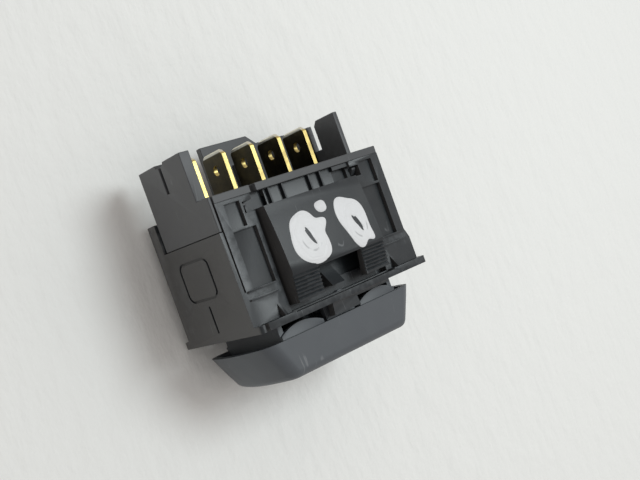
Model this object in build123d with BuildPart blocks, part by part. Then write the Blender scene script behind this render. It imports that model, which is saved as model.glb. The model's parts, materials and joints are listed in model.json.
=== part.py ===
from build123d import *

import os
from math import atan2, degrees, hypot

os.makedirs("parts", exist_ok=True)

# Power window rocker switch, in mm. The origin is the centre of the panel seat, the flange's
# under-face. +Z points out of the panel, X runs along the rocker, and -Y is the front side.

# Housing
body_l = 36.0  # outer length of the case
body_d = 20.7  # outer depth of the case
body_h = 19.9  # from the panel seat to the terminal base
wall = 1.4
flange_t = 1.2
flange_front = 1.75  # overhang of the flange past the front and rear walls
flange_end = 1.05  # overhang past the -X end
end_t = 0.65  # thickness of the end plate on the +X end and of the foot on the -X end
end_step = 4.5  # the end plate stops this far under the case's base end
finger_h = 5.2  # rear corner finger, above the end plate
finger_d = 2.45
foot_h = 3.9
foot_slope = 1.7

# Front and rear faces of the case, mirrored from each other
well_half = 10.9  # half width of the latch well
well_depth = 2.05
well_back = 1.0  # thickness of the wall behind the latch well
well_side = 0.7  # thickness of its two side walls
well_top = 1.6  # that wall stops this far under the panel seat
panel_in = 11.7  # inner edge of the sunk side panels
panel_out = 16.2
panel_depth = 0.7
ledge_drop = 4.7  # ledge across the side panels, under the base end
ledge_t = 0.4
sill_z = 5.5  # lower end of the side panels
rib_t = 0.3
rib_proud = 0.35
rib_pitch = 1.35
snap_window_drop = 2.85  # near edge of the snap windows, under the base end
snap_window_h = 1.85
snap_window_out = 12.8
hook_w = 0.9
hook_t = 0.85
hook_gap = 0.15
hook_tooth = 0.9  # how far the tooth stands into its window
hook_h = 1.3
gusset_x = 12.85
gusset_t = 0.5
gusset_h = 2.1
gusset_in = 0.4  # gussets stop this far inside the flange's edge
relief_half = 11.2  # the flange is thinned over the latches
relief = 0.2
corner_slot = 0.3
corner_slot_depth = 1.1
flange_slot_x = 17.35
flange_slot = 0.7

# Latches, moulded in one with the case: a hollow wedge on a root strip
latch_half = 10.2
latch_drop = 2.7  # the hinged end, under the base end
latch_end = 0.95  # free end, under the panel seat
latch_toe_out = 1.55  # how far the face stands out of the case, from hinged to free end
latch_mid_out = 2.3
latch_peak_out = 2.8
latch_heel_out = 1.9
latch_mid_z = 12.0
latch_peak_z = 5.8
latch_wall = 1.2
latch_back_in = 1.45  # how far the latch reaches into the case
root_half = 7.4
root_h = 1.0
tooth_n = 7
tooth_depth = 0.3
window_half = 4.8  # cut-out between the two toothed blocks
window_top = 5.3
stop_half = 1.35  # ramped stop behind the cut-out
stop_x = 0.4
stop_h = 4.0
stop_proud = 0.55

# End face: rounded rectangular outline and the short line under it
frame_y, frame_z = 1.15, -9.5
frame_w, frame_l = 9.3, 7.8
frame_line = 0.45
frame_depth = 0.3
line_y = 0.4
line_top, line_end = 5.0, 0.4

# Rocker
rocker_z0 = 3.9  # edge of the outer skirt
rocker_h = 6.55
rocker_mid = 18.5  # half length on the centre line, at the edge
bow_r = 29.0  # bow of the ends, in plan
rocker_inset = 1.15  # the skirt stands this far inside the case's sides
rocker_r = 2.6
top_mid = 15.6  # half length at the top
draft = 0.2
rocker_edge_r = 1.5
rocker_wall = 1.2
dish_x = 8.2
dish_r = 30.0
dish_depth = 0.55
lobe_in, lobe_out = 4.2, 13.5
lobe_top = 2.1  # crest of the lobes, above the panel seat
lobe_shoulder = 3.3
lobe_inset = 0.6  # behind the skirt
lobe_t = 0.9
inner_half = 13.5  # end walls of the inner box
cheek_gap = 0.85  # between the inner box and the case wall
inner_wall = 1.0
inner_z0 = 1.6
lens_l, lens_w = 4.0, 1.4
lens_x = 0.0

# Pivot
pivot_z = 1.0
trunnion_r = 1.2
running = 0.05  # radial running clearance
ear_half = 2.5
ear_spread = 0.45
ear_top = 3.4
ear_skin = 0.4  # wall left outside the blind pivot bore
cheek_half = 3.2
cheek_z0 = -0.4
cheek_t = 1.0
collar_in, collar_out = 2.4, 10.5
collar_h = 0.65

# Contact system: two see-saws, each on its own fulcrum
pole_gap = 0.9  # between a see-saw and the wall behind the latch well
contact_x = 8.0
contact_r = 1.3
contact_h = 2.3  # contact faces above the deck
moving_r = 1.0
moving_h = 0.5
contact_gap = 0.85
seesaw_half = 9.4
seesaw_w = 3.6
seesaw_t = 0.5
cheek_plate = 0.4
saddle_half = 1.6
valley_half = 2.2  # shallow valley under the plunger's nose
valley_rise = 0.3
valley_end = 4.6
fulcrum_drop = 0.45  # fulcrum axis below the moving contact's face
fulcrum_r = 0.6
post_w = 2.0
plug_h = 2.4  # the base's plug stands this deep in the case
rail_t = 0.5
rail_w = 1.4
rail_lift = 1.2
pad_w = 2.6
plunger_r = 1.54
tube_wall = 0.8
tube_z0 = -7.5
nose_r = 0.9
nose_flat = 0.45  # radius of the tip's flat
nose_gap = 0.1
plunger_top = -1.5
shoulder_h = 1.85  # the shoulder above the nose
spring_r = 0.95
spring_wire = 0.17
spring_turns = 4

# Terminal base and its shroud
rim_t = 1.3
side_gap = 0.1  # between the side plate and the end plate
side_t = 0.55
finger_gap = 0.8  # slot beside the case's corner finger
shroud_h = 8.2  # heights over the base plate
shroud_front = 7.0
shroud_t = 1.4
notch_y, notch_w, notch_h = 0.0, 2.7, 0.6
slit_w, slit_h, slit_depth = 0.7, 4.6, 0.7
back_y = 5.7  # inner face of the shroud's rear wall
back_t = 1.35
back_h = 8.0
back_end = 6.2
key_h = 9.7
key_end = -4.0
key_slope = 1.7
fin_t = 1.0
fin_h = 8.45
fin_front, fin_rear = 4.0, 2.2
fin_notch_h = 3.1
fin_chamfer = 0.9
rib_x, rib_w, rib_out, rib_h = 0.45, 1.0, 0.8, 5.2
rim_slot_x, rim_slot_w = 9.85, 1.1
plug_gap = 0.1

# Blades
blade_pitch = 6.0
blade_x1 = 13.9
blade_n = 5
blade_w = 6.3
blade_t = 0.8
blade_out = 6.9  # tip over the base plate
blade_sunk = 1.5  # shoulder of the blade under the deck
blade_bevel = 0.9
tip_bevel = 0.22
hole_r = 0.85
hole_from_tip = 2.4
stem_w = 0.8

# Lamp
lamp_x = 12.15
lamp_r = 1.5
lamp_h = 8.2
clip_t = 0.4

half_l = body_l / 2
half_d = body_d / 2
well_y = half_d - well_depth
inner_y = well_y - well_back  # inner face of the wall behind the latch well
end_top = body_h - end_step
ledge_z = body_h - ledge_drop
snap_window_z = body_h - snap_window_drop
latch_top = body_h - latch_drop
latch_toe = half_d + latch_toe_out
latch_mid = half_d + latch_mid_out
latch_peak = half_d + latch_peak_out
latch_heel = half_d + latch_heel_out
latch_back = half_d - latch_back_in
rocker_half_d = half_d - rocker_inset
top_half_d = rocker_half_d - draft
lobe_half_d = rocker_half_d - lobe_inset
inner_half_d = half_d - wall - cheek_gap
pole_y = inner_y - pole_gap - seesaw_w / 2
deck_z = plug_h - body_h
contact_top = deck_z + contact_h
pack_z = -body_h - rim_t  # outer face of the terminal base
side_z = end_top + side_gap
side_rear = half_d - finger_d - finger_gap
shroud_z = shroud_h - pack_z
back_z = back_h - pack_z
key_z = key_h - pack_z
fin_z = fin_h - pack_z
fin_notch_z = fin_notch_h - pack_z
blade_z = blade_out - pack_z
blade_foot = blade_sunk - deck_z
strip_z0 = contact_top + contact_gap + moving_h  # under-face of the see-saw strip
fulcrum_z = contact_top + contact_gap - fulcrum_drop
nose_z = strip_z0 + seesaw_t + nose_gap
shoulder_z = nose_z + shoulder_h
bore_top = rocker_z0 + rocker_h - rocker_wall


def save(block, name):
    """Label a finished piece and write it under its node's name."""
    block.part.label = name
    export_step(block.part, f"parts/{name}.step")


# ---------------------------------------------------------------- latch
# Profile in the YZ plane, drawn with the distance from the middle plane as its first axis.
def latch_outline():
    """Toe, bulged ramp, peak, then the row of teeth down to the free end."""
    pitch = (latch_peak_z - 0.7 - latch_end) / tooth_n
    slope = (latch_peak - latch_heel) / (latch_peak_z - latch_end)
    teeth = []
    for i in range(tooth_n):
        z = -(latch_peak_z - 0.7) + i * pitch
        crest = latch_peak - slope * (latch_peak_z + z)
        teeth += [(crest - tooth_depth, z), (crest, z + 0.35 * pitch)]
    return teeth


with BuildPart() as latch:
    teeth = latch_outline()
    with BuildSketch(Plane.YZ.offset(-latch_half)):
        with BuildLine():
            Line((latch_back, -latch_top), (latch_toe, -latch_top))
            ThreePointArc((latch_toe, -latch_top), (latch_mid, -latch_mid_z), (latch_peak, -latch_peak_z))
            Polyline((latch_peak, -latch_peak_z), *teeth, (latch_heel, -latch_end), (latch_back, -latch_end))
            Line((latch_back, -latch_end), (latch_back, -latch_top))
        make_face()
    extrude(amount=2 * latch_half)
    with BuildSketch(Plane.YZ.offset(-(latch_half - latch_wall))):
        with BuildLine():
            Polyline(
                (latch_back, -(latch_top - latch_wall)),
                (latch_toe - latch_wall, -(latch_top - latch_wall)),
                (latch_mid - latch_wall, -latch_mid_z),
                (latch_peak - latch_wall, -latch_peak_z),
                (latch_heel - latch_wall - tooth_depth, -latch_end),
                (latch_back, -latch_end),
                close=True,
            )
        make_face()
    extrude(amount=2 * (latch_half - latch_wall), mode=Mode.SUBTRACT)
    with BuildSketch(Plane.XY.offset(-window_top)):
        with Locations((0, (latch_back + latch_peak) / 2)):
            Rectangle(2 * window_half, latch_peak - latch_back + 1)
    extrude(amount=window_top, mode=Mode.SUBTRACT)
    # Root strip up to the case, and the block that joins it to the wall behind
    with BuildSketch(Plane.YZ.offset(-root_half)):
        with BuildLine():
            Polyline(
                (well_y, -body_h),
                (latch_back + 1.0, -body_h),
                (latch_back + 1.0, -(latch_top - latch_wall)),
                (latch_back, -(latch_top - latch_wall)),
                (latch_back, -(body_h - root_h)),
                (well_y, -(body_h - root_h)),
                close=True,
            )
        make_face()
    extrude(amount=2 * root_half)


# ---------------------------------------------------------------- housing
with BuildPart() as housing:
    with BuildSketch(Plane.XY.offset(-body_h)):
        Rectangle(body_l, body_d)
    extrude(amount=body_h)
    # Flange, flush with the end plate at +X
    with BuildSketch():
        with Locations(((end_t - flange_end) / 2, 0)):
            RectangleRounded(body_l + end_t + flange_end, body_d + 2 * flange_front, 0.7)
    extrude(amount=flange_t)
    # End plate with the rear corner finger, and the foot at the other end
    with BuildSketch(Plane.YZ.offset(half_l)):
        with BuildLine():
            Polyline(
                (-half_d, 0),
                (half_d, 0),
                (half_d, -(end_top + finger_h)),
                (half_d - finger_d, -(end_top + finger_h)),
                (half_d - finger_d, -end_top),
                (-half_d, -end_top),
                close=True,
            )
        make_face()
    extrude(amount=end_t)
    with BuildSketch(Plane.XY.offset(-body_h)):
        with Locations((half_l - (wall - end_t) / 2, half_d - finger_d / 2)):
            Rectangle(wall - end_t, finger_d)
    extrude(amount=-(end_top + finger_h - body_h))
    with BuildSketch(Plane.XZ.offset(-half_d)):
        with BuildLine():
            Polyline(
                (-half_l, 0),
                (-half_l, -(foot_h + foot_slope)),
                (-half_l - end_t, -foot_h),
                (-half_l - end_t, 0),
                close=True,
            )
        make_face()
    extrude(amount=body_d)
    # Cavity, open at the mouth and closed at the other end by the terminal base
    with BuildSketch(Plane.XY.offset(-body_h)):
        Rectangle(body_l - 2 * wall, body_d - 2 * wall)
    extrude(amount=body_h + flange_t, mode=Mode.SUBTRACT)
    # Walls behind the latch wells
    with BuildSketch(Plane.XY.offset(-body_h)):
        for side in (-1, 1):
            with Locations((0, side * (half_d + well_y - well_back) / 2)):
                Rectangle(2 * (well_half + well_side), half_d - well_y + well_back)
    extrude(amount=body_h - well_top)
    with BuildSketch(Plane.XY.offset(-well_top)):
        for side in (-1, 1):
            with Locations((0, side * (half_d - wall + well_y) / 2)):
                Rectangle(2 * (well_half + well_side), half_d - wall - well_y)
    extrude(amount=well_top)
    with BuildSketch(Plane.XY.offset(-body_h)):
        for side in (-1, 1):
            with Locations((0, side * (half_d + well_y) / 2)):
                Rectangle(2 * well_half, well_depth)
    extrude(amount=body_h, mode=Mode.SUBTRACT)
    # Sunk side panels, with the ledge left standing between their two fields
    for side in (-1, 1):
        with BuildSketch(Plane.XZ.offset(side * half_d)):
            for end in (-1, 1):
                with Locations((end * (panel_in + panel_out) / 2, -(sill_z + ledge_z - ledge_t) / 2)):
                    Rectangle(panel_out - panel_in, ledge_z - ledge_t - sill_z)
                with Locations((end * (snap_window_out + 0.4 + panel_out) / 2, -(ledge_z + body_h - 0.6) / 2)):
                    Rectangle(panel_out - snap_window_out - 0.4, body_h - 0.6 - ledge_z)
        extrude(amount=-side * panel_depth, mode=Mode.SUBTRACT)
        # Snap windows beside the latch, for the hooks of the terminal base
        with BuildSketch(Plane.XZ.offset(side * half_d)):
            for end in (-1, 1):
                with Locations((end * (well_half + snap_window_out) / 2, -(snap_window_z + snap_window_h / 2))):
                    Rectangle(snap_window_out - well_half + 0.02, snap_window_h)
        extrude(amount=-side * wall, mode=Mode.SUBTRACT)
        # Two ribs across each corner under the side panels
        with BuildSketch(Plane.XZ.offset(side * half_d)):
            for end in (-1, 1):
                for i in range(2):
                    with Locations((end * (panel_in + 0.4 + half_l - 0.5) / 2, -(sill_z - 0.1 - i * rib_pitch))):
                        Rectangle(half_l - 0.5 - panel_in - 0.4, rib_t)
        extrude(amount=side * rib_proud)
        # Gussets under the flange
        for end in (-1, 1):
            with BuildSketch(Plane.YZ.offset(end * gusset_x - gusset_t / 2)):
                with BuildLine():
                    Polyline(
                        (side * half_d, 0),
                        (side * (half_d + flange_front - gusset_in), 0),
                        (side * half_d, -gusset_h),
                        close=True,
                    )
                make_face()
            extrude(amount=gusset_t)
    # Slots that free the end plate from the front corner, and the front strip of the flange
    with BuildSketch(Plane.XY.offset(-body_h)):
        with Locations((half_l - corner_slot / 2, -half_d + corner_slot_depth / 2)):
            Rectangle(corner_slot, corner_slot_depth)
    extrude(amount=body_h - sill_z, mode=Mode.SUBTRACT)
    with BuildSketch():
        with Locations((flange_slot_x, -half_d - flange_front / 2)):
            Rectangle(flange_slot, flange_front)
    extrude(amount=flange_t, mode=Mode.SUBTRACT)
    # The flange's under-face is raised over the latches, which leaves seat pads at both ends
    with BuildSketch():
        for side in (-1, 1):
            with Locations((0, side * (half_d + flange_front / 2))):
                Rectangle(2 * relief_half, flange_front)
    extrude(amount=relief, mode=Mode.SUBTRACT)
    # Pivot ears and the low collar beside each, turned half round from each other
    for side in (-1, 1):
        with BuildSketch(Plane.XZ.offset(side * half_d)):
            with BuildLine():
                Polyline(
                    (-ear_half, 0),
                    (-ear_half - ear_spread, ear_top),
                    (ear_half + ear_spread, ear_top),
                    (ear_half, 0),
                    close=True,
                )
            make_face()
            with Locations((-side * (collar_in + collar_out) / 2, (flange_t + collar_h) / 2)):
                Rectangle(collar_out - collar_in, flange_t + collar_h)
        extrude(amount=-side * wall)
        with BuildSketch(Plane.XZ.offset(side * (half_d - ear_skin))):
            with Locations((0, pivot_z)):
                Circle(trunnion_r + running)
        extrude(amount=-side * wall, mode=Mode.SUBTRACT)
    # Rounded outline and short line sunk into the end face
    with BuildSketch(Plane.YZ.offset(half_l + end_t)):
        with Locations((frame_y, frame_z)):
            RectangleRounded(frame_w, frame_l, 1.6)
            RectangleRounded(frame_w - 2 * frame_line, frame_l - 2 * frame_line, 1.6 - frame_line, mode=Mode.SUBTRACT)
        with Locations((line_y, -(line_top + line_end) / 2)):
            Rectangle(frame_line, line_top - line_end)
    extrude(amount=-frame_depth, mode=Mode.SUBTRACT)
    # Ramped stops behind the latch cut-outs
    for side in (-1, 1):
        with BuildSketch(Plane.YZ.offset(-side * stop_x - stop_half)):
            with BuildLine():
                Polyline(
                    (side * well_y, -window_top + 0.5),
                    (side * (half_d + stop_proud), -(window_top - stop_h)),
                    (side * well_y, -(window_top - stop_h)),
                    close=True,
                )
            make_face()
        extrude(amount=2 * stop_half)
    add(latch.part)
    add(mirror(latch.part, about=Plane.XZ))
save(housing, "housing")


# ---------------------------------------------------------------- rocker
def bowed_block(length, top_length, depth, top_depth, z0, z1):
    """Block with drafted long sides and sloping ends, bowed as parts of a cone.

    length and depth are half sizes at z0, top_length and top_depth at z1.
    """
    with BuildPart() as block:
        with BuildSketch(Plane.YZ.offset(-length)):
            with BuildLine():
                Polyline((-depth, z0), (depth, z0), (top_depth, z1), (-top_depth, z1), close=True)
            make_face()
        extrude(amount=2 * length)
        for end in (-1, 1):
            centre = end * (length - bow_r)
            with BuildSketch(Plane.XZ):
                with BuildLine():
                    Polyline((centre, z0), (end * length, z0), (end * top_length, z1), (centre, z1), close=True)
                make_face()
            revolve(axis=Axis((centre, 0, 0), (0, 0, 1)), mode=Mode.INTERSECT)
    return block.part


with BuildPart() as rocker_lens:
    with BuildSketch(Plane.XY.offset(bore_top)):
        with Locations((lens_x, 0)):
            RectangleRounded(lens_l, lens_w, 0.3)
    extrude(amount=rocker_wall - dish_depth / 2)
save(rocker_lens, "rocker_lens")


shell = bowed_block(rocker_mid, top_mid, rocker_half_d, top_half_d, rocker_z0, rocker_z0 + rocker_h)
hollow = bowed_block(
    rocker_mid - rocker_wall,
    top_mid - rocker_wall,
    rocker_half_d - rocker_wall,
    top_half_d - rocker_wall,
    rocker_z0,
    bore_top,
)

with BuildPart() as rocker:
    add(shell)
    uprights = rocker.edges().filter_by(lambda e: abs((e @ 1).Z - (e @ 0).Z) > 0.9 * rocker_h)
    fillet(uprights, rocker_r)
    fillet(rocker.faces().sort_by(Axis.Z)[-1].edges(), rocker_edge_r)
    add(hollow, mode=Mode.SUBTRACT)
    # Finger dishes
    dish_z = rocker_z0 + rocker_h - dish_depth + dish_r
    with Locations(*[(end * dish_x, 0, dish_z) for end in (-1, 1)]):
        Sphere(dish_r, rotation=(90, 0, 0), mode=Mode.SUBTRACT)
    # Inner box: end walls, lobed side walls and pivot cheeks
    with BuildSketch(Plane.XY.offset(inner_z0)):
        for end in (-1, 1):
            with Locations((end * (inner_half - inner_wall / 2), 0)):
                Rectangle(inner_wall, 2 * inner_half_d)
    extrude(amount=bore_top - inner_z0 + 0.3)
    for side in (-1, 1):
        with BuildSketch(Plane.XZ.offset(side * lobe_half_d)):
            for end in (-1, 1):
                middle = end * (lobe_in + lobe_out) / 2
                with BuildLine():
                    ThreePointArc((end * lobe_in, lobe_shoulder), (middle, lobe_top), (end * lobe_out, lobe_shoulder))
                    Polyline(
                        (end * lobe_out, lobe_shoulder),
                        (end * lobe_out, rocker_z0 + rocker_wall),
                        (end * lobe_in, rocker_z0 + rocker_wall),
                        (end * lobe_in, lobe_shoulder),
                    )
                make_face()
        extrude(amount=-side * lobe_t)
        with BuildSketch(Plane.XZ.offset(side * inner_half_d)):
            with Locations((0, (cheek_z0 + bore_top) / 2)):
                Rectangle(2 * cheek_half, bore_top - cheek_z0)
        extrude(amount=-side * cheek_t)
        with BuildSketch(Plane.XZ.offset(side * (inner_half_d - cheek_t / 2))):
            with Locations((0, pivot_z)):
                Circle(trunnion_r)
        extrude(amount=side * (half_d - ear_skin - 0.1 - inner_half_d + cheek_t / 2))
    # Tubes for the plungers
    with BuildSketch(Plane.XY.offset(tube_z0)):
        with Locations((0, -pole_y), (0, pole_y)):
            Circle(plunger_r + running + tube_wall)
    extrude(amount=bore_top - tube_z0)
    with BuildSketch(Plane.XY.offset(tube_z0)):
        with Locations((0, -pole_y), (0, pole_y)):
            Circle(plunger_r + running)
    extrude(amount=bore_top - tube_z0, mode=Mode.SUBTRACT)
    add(rocker_lens.part, mode=Mode.SUBTRACT)
    with BuildSketch(Plane.XY.offset(rocker_z0 + rocker_h - dish_depth)):
        with Locations((lens_x, 0)):
            RectangleRounded(lens_l, lens_w, 0.3)
    extrude(amount=dish_depth, mode=Mode.SUBTRACT)
save(rocker, "rocker")


# ---------------------------------------------------------------- terminal base
blade_x = [blade_x1 - i * blade_pitch for i in range(blade_n)]
stem_y = -(blade_w - stem_w) / 2
stem_side = [-1, -1, -1, 1, -1]  # side of the middle plane on which each blade's stem stands

with BuildPart() as terminal_base:
    with BuildSketch(Plane.XY.offset(-body_h)):
        with Locations((-corner_slot / 2, 0)):
            Rectangle(body_l - corner_slot, body_d)
        with Locations((rim_slot_x, -half_d + rim_t / 2)):
            Rectangle(rim_slot_w, rim_t, mode=Mode.SUBTRACT)
        with Locations((half_l - wall / 2, half_d - finger_d / 2 + 0.1)):
            Rectangle(wall, finger_d + 0.2, mode=Mode.SUBTRACT)
    extrude(amount=-rim_t)
    # Plug into the case
    with BuildSketch(Plane.XY.offset(-body_h)):
        Rectangle(body_l - 2 * (wall + plug_gap), 2 * (inner_y - plug_gap))
    extrude(amount=body_h + deck_z)
    # Side plate over the case's end wall, and the shroud's end wall above it
    with BuildSketch(Plane.YZ.offset(half_l)):
        with BuildLine():
            Polyline(
                (-half_d, -side_z),
                (side_rear, -side_z),
                (side_rear, -shroud_z),
                (-shroud_front, -shroud_z),
                (-shroud_front, pack_z),
                (-half_d, pack_z),
                close=True,
            )
        make_face()
    extrude(amount=side_t)
    with BuildSketch(Plane.YZ.offset(half_l - shroud_t)):
        with Locations(((side_rear - shroud_front) / 2, (pack_z - shroud_z) / 2)):
            Rectangle(side_rear + shroud_front, shroud_z + pack_z)
    extrude(amount=shroud_t)
    with BuildSketch(Plane.YZ.offset(half_l + side_t)):
        with BuildLine():
            Polyline(
                (notch_y - notch_w / 2, -shroud_z),
                (notch_y + notch_w / 2, -shroud_z),
                (notch_y + notch_w / 2 - 0.3, -shroud_z + notch_h),
                (notch_y - notch_w / 2 + 0.3, -shroud_z + notch_h),
                close=True,
            )
        make_face()
    extrude(amount=-(side_t + shroud_t), mode=Mode.SUBTRACT)
    with BuildSketch(Plane.YZ.offset(half_l + side_t)):
        with Locations((notch_y, -shroud_z + notch_h + slit_h / 2 - 0.1)):
            Rectangle(slit_w, slit_h)
    extrude(amount=-slit_depth, mode=Mode.SUBTRACT)
    # Shroud's rear wall with its raised key, and the rib inside it
    with BuildSketch(Plane.XZ.offset(-(back_y + back_t))):
        with BuildLine():
            Polyline(
                (back_end, pack_z),
                (back_end, -key_z),
                (key_end, -key_z),
                (key_end - key_slope, -back_z),
                (-half_l, -back_z),
                (-half_l, pack_z),
                close=True,
            )
        make_face()
    extrude(amount=back_t)
    with BuildSketch(Plane.XY.offset(pack_z)):
        with Locations((rib_x, back_y - rib_out / 2)):
            Rectangle(rib_w, rib_out)
    extrude(amount=-rib_h)
    # Fin at the -X end, cut down behind
    with BuildSketch(Plane.YZ.offset(-half_l)):
        with BuildLine():
            Polyline(
                (-fin_front, pack_z),
                (-fin_front, -fin_z),
                (fin_rear - fin_chamfer, -fin_z),
                (fin_rear, -fin_z + fin_chamfer),
                (fin_rear, -fin_notch_z),
                (back_y, -fin_notch_z),
                (back_y, pack_z),
                close=True,
            )
        make_face()
    extrude(amount=fin_t)
    # Hooks that spring into the case's snap windows
    for side in (-1, 1):
        hook_y = side * (half_d - wall - hook_gap)
        hook_z = -snap_window_z - 0.35
        for end in (-1, 1):
            with BuildSketch(Plane.YZ.offset(end * (well_half + well_side + hook_gap + hook_w / 2) - hook_w / 2)):
                with BuildLine():
                    Polyline(
                        (hook_y, -body_h),
                        (hook_y - side * hook_t, -body_h),
                        (hook_y - side * hook_t, hook_z),
                        (hook_y, hook_z),
                        (hook_y + side * hook_tooth, hook_z - hook_h + 0.4),
                        (hook_y + side * hook_tooth, hook_z - hook_h),
                        (hook_y, hook_z - hook_h),
                        close=True,
                    )
                make_face()
            extrude(amount=hook_w)
    # Pads for the raised rail, then the openings for blades and stems
    with BuildSketch(Plane.XY.offset(deck_z)):
        for end in (-1, 1):
            with Locations((end * contact_x, -end * pole_y)):
                Rectangle(pad_w - 0.2, pad_w - 0.2)
    extrude(amount=rail_lift)
    with BuildSketch(Plane.XY.offset(pack_z)):
        with Locations(*[(x, 0) for x in blade_x]):
            Rectangle(blade_t, blade_w)
    extrude(amount=-blade_foot - pack_z, mode=Mode.SUBTRACT)
    with BuildSketch(Plane.XY.offset(-blade_foot)):
        with Locations(*[(x, -side * stem_y) for x, side in zip(blade_x, stem_side)]):
            Rectangle(blade_t, stem_w)
    extrude(amount=blade_foot + deck_z + rail_lift, mode=Mode.SUBTRACT)
save(terminal_base, "terminal_base")


# ---------------------------------------------------------------- blades
def terminal(name, x, side, stem_top):
    """Flat tab with a bevelled tip and a hole, and a stem up to its rail or plate."""
    with BuildPart() as blade:
        with BuildSketch(Plane.YZ.offset(x - blade_t / 2)):
            with BuildLine():
                Polyline(
                    (-blade_w / 2, -blade_foot),
                    (-blade_w / 2, -blade_z + blade_bevel),
                    (-blade_w / 2 + blade_bevel, -blade_z),
                    (blade_w / 2 - blade_bevel, -blade_z),
                    (blade_w / 2, -blade_z + blade_bevel),
                    (blade_w / 2, -blade_foot),
                    close=True,
                )
            make_face()
            with Locations((0, -blade_z + hole_from_tip)):
                Circle(hole_r, mode=Mode.SUBTRACT)
        extrude(amount=blade_t)
        chamfer(blade.edges().filter_by(Axis.Y).group_by(Axis.Z)[0], tip_bevel)
        with BuildSketch(Plane.XY.offset(-blade_foot)):
            with Locations((x, -side * stem_y)):
                Rectangle(blade_t, stem_w)
        extrude(amount=blade_foot + stem_top)
    save(blade, name)


rail_z = deck_z + rail_lift
terminal("terminal_lamp", blade_x[0], stem_side[0], deck_z)
terminal("terminal_supply", blade_x[1], stem_side[1], rail_z)
terminal("terminal_motor_a", blade_x[2], stem_side[2], deck_z)
terminal("terminal_motor_b", blade_x[3], stem_side[3], deck_z)
terminal("terminal_ground", blade_x[4], stem_side[4], deck_z)


# ---------------------------------------------------------------- rails and contacts
def rail(name, z, slope, stem_x):
    """Strip across the deck between two opposite corners, with a pad under each contact.

    slope is 1 or -1, the sign of y at the +X end; the pad at y < 0 reaches its blade's stem.
    """
    with BuildPart() as strip:
        with BuildSketch(Plane.XY.offset(z)):
            with Locations(Rotation(0, 0, degrees(atan2(slope * pole_y, contact_x)))):
                Rectangle(2 * hypot(contact_x, pole_y), rail_w)
            with Locations((contact_x, slope * pole_y), (-contact_x, -slope * pole_y)):
                Rectangle(pad_w, pad_w)
            near = -slope * contact_x
            x_low = min(near - pad_w / 2, stem_x - blade_t / 2)
            x_high = max(near + pad_w / 2, stem_x + blade_t / 2)
            y_low = -pole_y - pad_w / 2
            y_high = stem_y + stem_w / 2
            with Locations(((x_low + x_high) / 2, (y_low + y_high) / 2)):
                Rectangle(x_high - x_low, y_high - y_low)
        extrude(amount=rail_t)
    save(strip, name)


rail("ground_rail", deck_z, 1, blade_x[4])
rail("supply_rail", rail_z, -1, blade_x[1])


def fixed_contact(name, x, y, z):
    """Contact button standing on its rail."""
    with BuildPart() as button:
        with BuildSketch(Plane.XY.offset(z)):
            with Locations((x, y)):
                Circle(contact_r)
        extrude(amount=contact_top - z)
    save(button, name)


fixed_contact("fixed_contact_front_plus", contact_x, -pole_y, rail_z + rail_t)
fixed_contact("fixed_contact_front_minus", -contact_x, -pole_y, deck_z + rail_t)
fixed_contact("fixed_contact_rear_plus", -contact_x, pole_y, rail_z + rail_t)
fixed_contact("fixed_contact_rear_minus", contact_x, pole_y, deck_z + rail_t)


def fulcrum(name, side, stem_x):
    """Foot plate on the deck, post, and round bar on which the see-saw rocks."""
    with BuildPart() as post:
        y0, y1 = -stem_y - stem_w / 2, pole_y + seesaw_w / 2
        x0, x1 = min(-saddle_half, stem_x - blade_t / 2), max(saddle_half, stem_x + blade_t / 2)
        with BuildSketch(Plane.XY.offset(deck_z)):
            with Locations(((x0 + x1) / 2, side * (y0 + y1) / 2)):
                Rectangle(x1 - x0, y1 - y0)
        extrude(amount=rail_t)
        with BuildSketch(Plane.XY.offset(deck_z)):
            with Locations((0, side * pole_y)):
                Rectangle(2 * fulcrum_r, post_w)
        extrude(amount=fulcrum_z - deck_z)
        with BuildSketch(Plane.XZ.offset(-side * pole_y - seesaw_w / 2 - 0.1)):
            with Locations((0, fulcrum_z)):
                Circle(fulcrum_r)
        extrude(amount=seesaw_w + 0.2)
    save(post, name)


fulcrum("fulcrum_front", -1, blade_x[2])
fulcrum("fulcrum_rear", 1, blade_x[3])


def seesaw(name, side):
    """Contact strip bent to a shallow valley, with two cheeks notched to sit on the fulcrum's bar."""
    y0 = side * pole_y + seesaw_w / 2
    bends = [(seesaw_half, 0), (valley_end, 0), (valley_half, valley_rise), (0, 0)]
    bends += [(-x, rise) for x, rise in reversed(bends[:-1])]
    saddle_rise = strip_z0 + seesaw_t / 2 + valley_rise * saddle_half / valley_half
    with BuildPart() as strip:
        with BuildSketch(Plane.XZ.offset(-y0)):
            with BuildLine():
                Polyline(
                    *[(x, strip_z0 + rise) for x, rise in bends],
                    *[(x, strip_z0 + seesaw_t + rise) for x, rise in reversed(bends)],
                    close=True,
                )
            make_face()
        extrude(amount=seesaw_w)
        for y in (y0, y0 - seesaw_w + cheek_plate):
            with BuildSketch(Plane.XZ.offset(-y)):
                with BuildLine():
                    Polyline(
                        (-saddle_half, fulcrum_z),
                        (saddle_half, fulcrum_z),
                        (saddle_half, saddle_rise),
                        (0, strip_z0 + seesaw_t / 2),
                        (-saddle_half, saddle_rise),
                        close=True,
                    )
                make_face()
            extrude(amount=cheek_plate)
        with BuildSketch(Plane.XZ.offset(-y0)):
            with Locations((0, fulcrum_z)):
                Circle(fulcrum_r + running)
        extrude(amount=seesaw_w, mode=Mode.SUBTRACT)
    save(strip, name)


def moving_contact(name, x, side):
    """Button riveted under one end of a see-saw."""
    with BuildPart() as button:
        with BuildSketch(Plane.XY.offset(strip_z0)):
            with Locations((x, side * pole_y)):
                Circle(moving_r)
        extrude(amount=-moving_h)
    save(button, name)


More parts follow.
